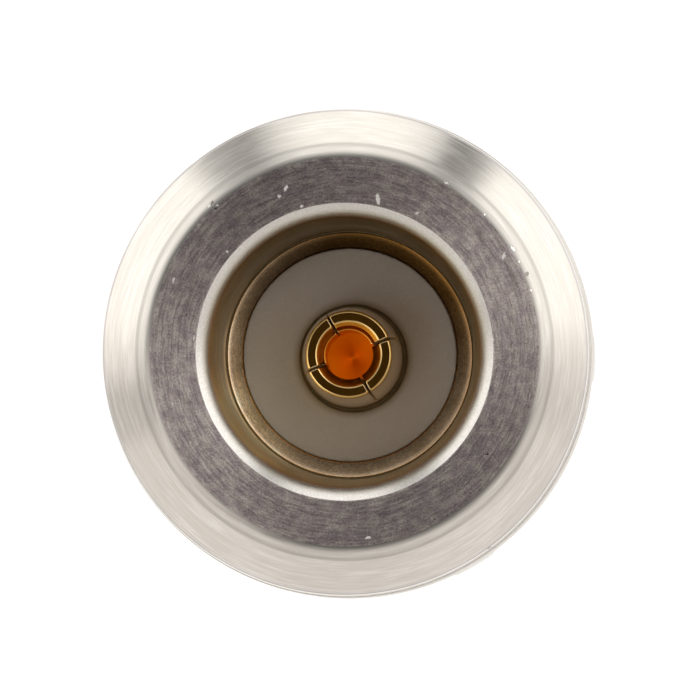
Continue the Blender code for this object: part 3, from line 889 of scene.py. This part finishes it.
GOLD_ZONES = [GOLD, GOLD_TIP, GOLD_HOLE, GOLD_DRILL, GOLD_THROAT, GOLD_SAWN]
G_OUTSIDE, G_TIP, G_HOLE, G_DRILLED, G_THROAT, G_SAWN = range(6)
FINGER_CORNER_R = 0.05 * MM
CORNER_STEPS = 5                # of a finger's rounded corner
SIDE_STEPS = 18                 # of its inner and outer side
EDGE_DEPTH = 0.03 * MM          # how far the bright rounded edge of a tip reaches down
CONTACT_FOOT_R = CONTACT_R + 0.125 * MM
N_SAW_CUTS = (21.7, 119.5)      # directions in degrees
TNC_SAW_CUTS = (45.0, 135.0)


def finger_outline(start, end, outer_r, inner_r, gap):
    """Points (x, y, zone) round one spring finger's section, between two saw cuts."""
    wall = outer_r - inner_r
    arc = (end - start) * (outer_r + inner_r) / 2
    s_corner, t_corner = FINGER_CORNER_R / arc, FINGER_CORNER_R / wall
    path = []      # (share along the arc, share across the wall, zone)
    corners = [(s_corner, t_corner, 180), (1 - s_corner, t_corner, 270), (1 - s_corner, 1 - t_corner, 0),
               (s_corner, 1 - t_corner, 90)]
    for number, (s, t, turn) in enumerate(corners):
        for step in range(CORNER_STEPS + 1):
            angle = math.radians(turn + 90 * step / CORNER_STEPS)
            zone = G_SAWN if step == CORNER_STEPS and number in (1, 3) else G_OUTSIDE
            path.append((s + s_corner * math.cos(angle), t + t_corner * math.sin(angle), zone))
        goal = corners[(number + 1) % 4]
        if number in (0, 2):
            edge_t, zone = (0.0, G_HOLE) if number == 0 else (1.0, G_OUTSIDE)
            for step in range(SIDE_STEPS + 1):
                path.append((s + (goal[0] - s) * step / SIDE_STEPS, edge_t, zone))
    points = []
    for s, t, zone in path:
        r = inner_r + wall * t
        left = start + math.asin(gap / r)
        right = end - math.asin(gap / r)
        angle = left + (right - left) * s
        points.append((r * math.cos(angle), r * math.sin(angle), zone))
    return points


def add_finger(shape, start, end, tip_z, way, sections, shift):
    """One spring finger, from its root to its tip, which points up (way 1) or down (way -1).

    Each section has (outer radius, its depth, inner radius, its depth, half gap, share of the shift).
    """
    middle = (start + end) / 2
    rings = []
    for outer_r, outer_depth, inner_r, inner_depth, gap, share in sections:
        outline = finger_outline(start, end, outer_r, inner_r, gap)
        dx, dy = share * shift * math.cos(middle), share * shift * math.sin(middle)
        ring = []
        for x, y, _ in outline:
            across = (math.hypot(x, y) - inner_r) / (outer_r - inner_r)
            depth = inner_depth + (outer_depth - inner_depth) * across
            ring.append(shape.verts.new((x + dx, y + dy, tip_z - way * depth)))
        rings.append(ring)
    zones = [zone for _, _, zone in outline]
    count = len(zones)
    for level, (low, high) in enumerate(zip(rings, rings[1:])):
        widening = sections[level + 1][2] > sections[level][2]
        edge = sections[level][3] < EDGE_DEPTH
        for i in range(count):
            j = (i + 1) % count
            corners = (low[i], low[j], high[j], high[i])
            face = shape.faces.new(corners if way > 0 else corners[::-1])
            inner_zone = G_OUTSIDE if edge else G_THROAT if widening else G_HOLE
            face.material_index = inner_zone if zones[i] == G_HOLE else zones[i]
            face.smooth = True
    tip = shape.faces.new(rings[-1] if way > 0 else rings[-1][::-1])
    tip.material_index = G_TIP
    shape.faces.new(rings[0][::-1] if way > 0 else rings[0])


def slotted_contact(name, base, slots, tip_z, way, fingers, shifts):
    """A turned base with spring fingers between the saw cuts, whose directions are in degrees."""
    shape = bmesh.new()
    cuts = sorted([slot % 360 for slot in slots] + [(slot + 180) % 360 for slot in slots])
    ends = cuts[1:] + [cuts[0] + 360]
    for start, end, sections, shift in zip(cuts, ends, fingers, shifts):
        add_finger(shape, math.radians(start), math.radians(end), tip_z, way, sections, shift)
    return lathe(name, base, GOLD_ZONES, INNER_COLUMNS, closed=False, shape=shape)


def in_metres(sections):
    """Sections whose sizes are in mm, turned into metres; the last value of each is a share and stays."""
    return [[size * MM for size in sizes] + [share] for *sizes, share in sections]


def n_finger(bevel_r, bevel_depth, lip_depth):
    """Sections of a finger of the N contact, from its root to its tip.

    The bevel at the hole's mouth ends at bevel_r and bevel_depth, the lip below it at lip_depth. The
    last two sections are both at depth 0, so that a flat ring borders the tip's flat face.
    """
    return in_metres([
        (1.625, 3.400, 0.810, 3.400, 0.010, 0.0),
        (1.585, 2.500, 0.810, 2.500, 0.010, 0.2),
        (1.470, 0.550, 0.798, 1.000, 0.026, 0.8),
        (1.442, 0.300, 0.790, 0.380, 0.036, 1.0),
        (1.432, 0.200, 0.822, lip_depth, 0.039, 1.0),
        (1.425, 0.140, 0.860, 0.260, 0.041, 1.0),
        (1.419, 0.095, bevel_r, bevel_depth, 0.041, 1.0),
        (1.411, 0.058, 1.035, 0.027, 0.041, 1.0),
        (1.399, 0.030, 1.051, 0.014, 0.043, 1.0),
        (1.382, 0.016, 1.068, 0.006, 0.047, 1.0),
        (1.362, 0.006, 1.081, 0.002, 0.054, 1.0),
        (1.342, 0.000, 1.092, 0.000, 0.064, 1.0),
        (1.334, 0.000, 1.100, 0.000, 0.072, 1.0),
    ])


def make_n_contact():
    """The spring contact seen in the photograph, with its stud."""
    hole_r = 0.81 * MM
    cone_depth = 0.28 * MM
    neck_r = 1.05 * MM
    stud_r = 0.60 * MM
    root_z = N_TIP_Z - 3.3 * MM
    hole_z = N_TIP_Z - 4.2 * MM
    foot_z = RIM_Z - RECESS_DEPTH + GAP
    base = [
        (0.0, hole_z - cone_depth, G_DRILLED, 0),
        (0.08 * hole_r, hole_z - 0.92 * cone_depth, G_DRILLED, 0),
        (hole_r, hole_z, G_HOLE, 0),
        (hole_r, root_z, G_HOLE, 0),
        (CONTACT_FOOT_R - 0.035 * MM, root_z, G_OUTSIDE, 0.02 * MM),
        (CONTACT_FOOT_R, foot_z, G_OUTSIDE, 0.04 * MM),
        (neck_r, foot_z, G_OUTSIDE, 0),
        (neck_r, LEDGE_Z, G_OUTSIDE, 0),
        (stud_r, LEDGE_Z, G_OUTSIDE, 0),
        (stud_r, STUD_END_Z, G_OUTSIDE, 0),
        (0.0, STUD_END_Z, G_OUTSIDE, 0),
    ]
    shifts = (0.015 * MM, -0.02 * MM, 0.01 * MM, -0.005 * MM)
    top, left = n_finger(0.930, 0.090, 0.369), n_finger(0.950, 0.16, 0.366)
    others = n_finger(0.950, 0.16, 0.345)
    fingers = [top, left, others, others]
    contact = slotted_contact("n_contact_skin", base, N_SAW_CUTS, N_TIP_Z, 1, fingers, shifts)
    shift_core(contact, RECESS_R, foot_z, N_TIP_Z, FOOT_SHIFT, TIP_SHIFT)
    return contact


def make_tnc_contact():
    """The hidden spring contact, with the hole that takes the stud."""
    hole_r = 0.69 * MM
    outer_r = 1.05 * MM
    root_z = TNC_TIP_Z + 2.8 * MM
    hole_z = TNC_TIP_Z + 4.6 * MM
    shoulder_z = TNC_BEAD_TOP_Z + GAP
    stud_hole_r = 0.63 * MM
    stud_hole_z = STUD_END_Z - GAP
    base = [
        (0.0, stud_hole_z - 0.37 * MM, G_OUTSIDE, 0),
        (stud_hole_r, stud_hole_z, G_OUTSIDE, 0),
        (stud_hole_r, TNC_CONTACT_TOP_Z, G_OUTSIDE, 0),
        (CONTACT_R, TNC_CONTACT_TOP_Z, G_OUTSIDE, 0.04 * MM),
        (CONTACT_R, shoulder_z, G_OUTSIDE, 0.04 * MM),
        (outer_r, shoulder_z, G_OUTSIDE, 0),
        (outer_r, root_z, G_OUTSIDE, 0),
        (hole_r, root_z, G_OUTSIDE, 0),
        (hole_r, hole_z, G_OUTSIDE, 0),
        (0.0, hole_z + 0.41 * MM, G_OUTSIDE, 0),
    ]
    sections = in_metres([
        (1.050, 2.900, 0.690, 2.900, 0.110, 0.0),
        (1.040, 0.500, 0.680, 0.500, 0.070, 0.0),
        (1.040, 0.140, 0.680, 0.160, 0.062, 0.0),
        (1.030, 0.100, 0.710, 0.110, 0.060, 0.0),
        (0.935, 0.010, 0.810, 0.010, 0.062, 0.0),
        (0.920, 0.000, 0.825, 0.000, 0.070, 0.0),
    ])
    fingers, shifts = [sections] * 4, [0.0] * 4
    return slotted_contact("tnc_contact_skin", base, TNC_SAW_CUTS, TNC_TIP_Z, -1, fingers, shifts)


# Each piece with the solid that it replaces and its material slot
PIECES = [
    (make_shell, "n_shell", "nickel_shell"),
    (make_body, "tnc_body", "nickel_body"),
    (make_n_bead, "n_insulator", "ptfe"),
    (make_tnc_bead, "tnc_insulator", "ptfe"),
    (make_n_contact, "n_contact", "gold_contact"),
    (make_tnc_contact, "tnc_contact", "gold_contact"),
]
for make, node, slot in PIECES:
    piece = make()
    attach(piece, "root")
    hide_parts(node)


# Floor, light and camera

FLOOR_R = 80 * MM
FLOOR_SIDES = 96
FLOOR_COLOR = (0.85, 0.85, 0.85, 1)
FLOOR_GLOW = 0.56               # keeps the floor white to the camera and in reflections


def make_floor():
    """A plain white floor that keeps the object's soft shadow."""
    shape = bmesh.new()
    bmesh.ops.create_circle(shape, cap_ends=True, segments=FLOOR_SIDES, radius=FLOOR_R)
    floor = new_piece("floor", shape, [])
    material = bpy.data.materials.new("floor_white")
    material.use_nodes = True
    graph = Graph(material.node_tree)
    nodes = material.node_tree.nodes
    nodes.remove(nodes["Principled BSDF"])
    diffuse = graph.node("ShaderNodeBsdfDiffuse")
    diffuse.inputs["Color"].default_value = FLOOR_COLOR
    glow = graph.node("ShaderNodeEmission")
    path = graph.node("ShaderNodeLightPath")
    seen = graph.larger(path.outputs["Is Camera Ray"], path.outputs["Is Glossy Ray"])
    graph.feed(glow.inputs["Strength"], graph.times(seen, FLOOR_GLOW))
    total = graph.node("ShaderNodeAddShader")
    graph.feed(total.inputs[0], diffuse.outputs[0])
    graph.feed(total.inputs[1], glow.outputs[0])
    graph.feed(nodes["Material Output"].inputs["Surface"], total.outputs[0])
    floor.data.materials.append(material)


# The light tent's wall: (azimuth in degrees, half width, softness, change of brightness)
PANELS = [
    (152.0, 16.0, 20.0, 0.46),
    (30.0, 14.0, 20.0, 0.50),
    (88.0, 10.0, 14.0, 0.42),
    (176.0, 4.0, 9.0, 0.02),
    (194.0, 3.0, 8.0, -0.24),
    (4.0, 3.0, 8.0, 0.10),
    (345.0, 2.0, 8.0, -0.08),
    (268.0, 10.0, 20.0, -0.06),
]
# Dark posts of the tent, in the same form, which fade upwards
POSTS = [(121.0, 4.5, 9.0, -0.53), (59.0, 3.0, 7.0, -0.64)]

ROOF_LEVEL = 0.45
ROOF_SLANT = (0.12, 0.12, 0.0)  # change of the roof's brightness along x and y
TENT_WARM = (1.0, 0.965, 0.925, 1)
TENT_COOL = (1.0, 0.99, 0.96, 1)


def sky_direction(azimuth, from_top):
    """Unit vector towards a place in the sky, from its angles in degrees."""
    turn, lean = math.radians(azimuth), math.radians(from_top)
    return (math.sin(lean) * math.cos(turn), math.sin(lean) * math.sin(turn), math.cos(lean))


# Soft boxes overhead: (direction, cosine at the rim, cosine at full strength, strength)
BOXES = [(sky_direction(20, 36), 0.90, 0.98, 1.04), (sky_direction(208, 32), 0.90, 0.985, 1.0)]


def tent_wall(graph, azimuth, y, z):
    """Brightness of the tent's wall, with its panels and posts."""
    wall = graph.ramp(y, -0.9, 0.5, 0.89, 0.92)
    post_share = graph.ramp(z, 0.05, 0.40, 1.0, 0.72)
    for number, (centre, half, soft, change) in enumerate(PANELS + POSTS):
        away = graph.math("ABSOLUTE", graph.math("WRAP", graph.minus(azimuth, centre), 180.0, -180.0))
        step = graph.ramp(away, half, half + soft, change, 0.0)
        if number >= len(PANELS):
            step = graph.times(step, post_share)
        wall = graph.plus(wall, step)
    return graph.times(wall, graph.ramp(z, 0.0, 0.5, 1.0, 0.86))


def tent_roof(graph, direction, z):
    """Brightness overhead, with the soft boxes and the camera's dark hole."""
    slant = graph.vector("DOT_PRODUCT", direction, ROOF_SLANT, "Value")
    least = graph.ramp(z, 0.86, 0.96, 0.20, 0.03)
    roof = graph.larger(graph.plus(slant, ROOF_LEVEL), least)
    for box, rim, full, strength in BOXES:
        nearness = graph.vector("DOT_PRODUCT", direction, box, "Value")
        roof = graph.plus(roof, graph.ramp(nearness, rim, full, 0.0, strength))
    return graph.times(roof, graph.ramp(z, 0.960, 0.990, 1.0, 0.12))


def make_world():
    """A light tent: bright walls, dimmer overhead with two soft boxes, and a dark hole at the top."""
    world = bpy.data.worlds.new("light_tent")
    bpy.context.scene.world = world
    world.use_nodes = True
    graph = Graph(world.node_tree)
    nodes = world.node_tree.nodes
    direction = graph.node("ShaderNodeTexCoord").outputs["Generated"]
    x, y, z = graph.split(direction)
    azimuth = graph.times(graph.math("ARCTAN2", y, x), 180 / math.pi)
    upward = graph.ramp(z, 0.42, 0.84)
    wall = graph.times(tent_wall(graph, azimuth, y, z), graph.minus(1.0, upward))
    roof = graph.times(tent_roof(graph, direction, z), upward)
    tent = graph.node("ShaderNodeBackground")
    tint = graph.mix(graph.ramp(y, -0.25, 0.45), TENT_WARM, TENT_COOL)
    graph.feed(tent.inputs["Color"], tint)
    graph.feed(tent.inputs["Strength"], graph.plus(wall, roof))
    white = graph.node("ShaderNodeBackground")
    white.inputs["Color"].default_value = WHITE
    white.inputs["Strength"].default_value = 1.0
    choice = graph.node("ShaderNodeMixShader")
    graph.feed(choice.inputs[0], graph.node("ShaderNodeLightPath").outputs["Is Camera Ray"])
    graph.feed(choice.inputs[1], tent.outputs[0])
    graph.feed(choice.inputs[2], white.outputs[0])
    graph.feed(nodes["World Output"].inputs["Surface"], choice.outputs[0])


# The photograph's view, almost straight down on the N end
PHOTO_WIDTH_PX = 700
PIXELS_PER_MM = 31.0            # at the N face
FACE_CENTRE_PX = (344.5, 351.7)
CAMERA_DISTANCE = 900 * MM
CAMERA_TILT = (0.0196, -0.0121)     # how far the camera stands off the axis, as shares of its height
SENSOR_WIDTH = 36.0


def make_camera():
    """The camera, aimed so that the face's centre and scale are those of the photograph."""
    centre_px = PHOTO_WIDTH_PX / 2
    aim = Vector((
        (centre_px - FACE_CENTRE_PX[0]) / PIXELS_PER_MM * MM,
        (FACE_CENTRE_PX[1] - centre_px) / PIXELS_PER_MM * MM,
        N_FACE_Z,
    ))
    back = Vector((CAMERA_TILT[0], CAMERA_TILT[1], 1.0)).normalized()
    right = Vector((0, 1, 0)).cross(back).normalized()
    up = back.cross(right)
    data = bpy.data.cameras.new("camera")
    data.sensor_width = SENSOR_WIDTH
    data.lens = SENSOR_WIDTH * CAMERA_DISTANCE / (PHOTO_WIDTH_PX / PIXELS_PER_MM * MM)
    data.clip_start = 10 * MM
    camera = bpy.data.objects.new("camera", data)
    turn = Matrix((right, up, back)).transposed().to_4x4()
    camera.matrix_world = Matrix.Translation(aim + back * CAMERA_DISTANCE) @ turn
    bpy.context.scene.collection.objects.link(camera)
    bpy.context.scene.camera = camera


make_floor()
make_world()
make_camera()
bpy.context.scene.view_settings.view_transform = "Standard"
